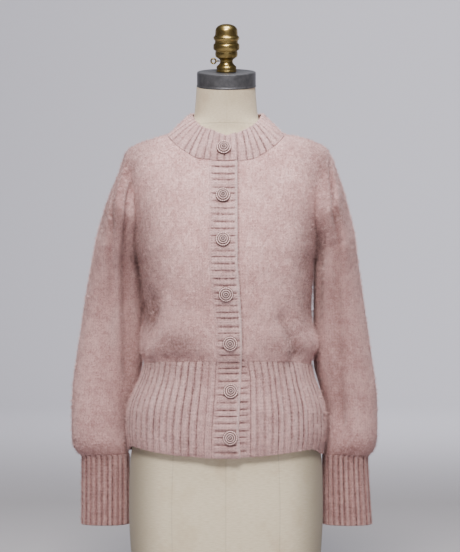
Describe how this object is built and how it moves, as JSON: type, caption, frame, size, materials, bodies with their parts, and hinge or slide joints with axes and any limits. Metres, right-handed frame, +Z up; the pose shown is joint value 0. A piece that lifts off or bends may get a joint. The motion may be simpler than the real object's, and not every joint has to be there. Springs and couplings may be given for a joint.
{
  "type": "mohair cardigan on dress form",
  "caption": "Raglan mohair cardigan with ribbed waistband, cuffs and front bands, buttoned up on a limbless linen dress form with a metal neck cap.",
  "frame": {"origin": "middle of the base board's underside, where the dress form stands", "axes": "+Z up the form, +X to the wearer's left, +Y to the wearer's back"},
  "size_m": [0.5346, 0.2662, 1.0182],
  "materials": {
    "mohair_knit": "brushed mohair knit, soft halo",
    "mohair_rib": "ribbed mohair knit, matt",
    "button_cord": "coiled cord, matt",
    "linen_cover": "plain linen, matt",
    "base_board": "painted, matt",
    "grey_steel": "satin, darkened",
    "aged_brass": "turned, aged"
  },
  "bodies": {
    "root": {"front_right": "mohair_knit", "front_left": "mohair_knit", "back": "mohair_knit", "sleeve_right": "mohair_knit", "sleeve_left": "mohair_knit", "waistband_right": "mohair_rib", "waistband_left": "mohair_rib", "waistband_back": "mohair_rib", "cuff_right": "mohair_rib", "cuff_left": "mohair_rib", "neckband": "mohair_rib", "buttonhole_band": "mohair_rib", "button_band": "mohair_rib", "button_1": "button_cord", "button_2": "button_cord", "button_3": "button_cord", "button_4": "button_cord", "button_5": "button_cord", "button_6": "button_cord", "button_7": "button_cord", "form_body": "linen_cover", "form_base": "base_board", "form_neck_cap": "grey_steel", "form_finial": "aged_brass", "form_pin": "aged_brass"}
  },
  "joints": []
}
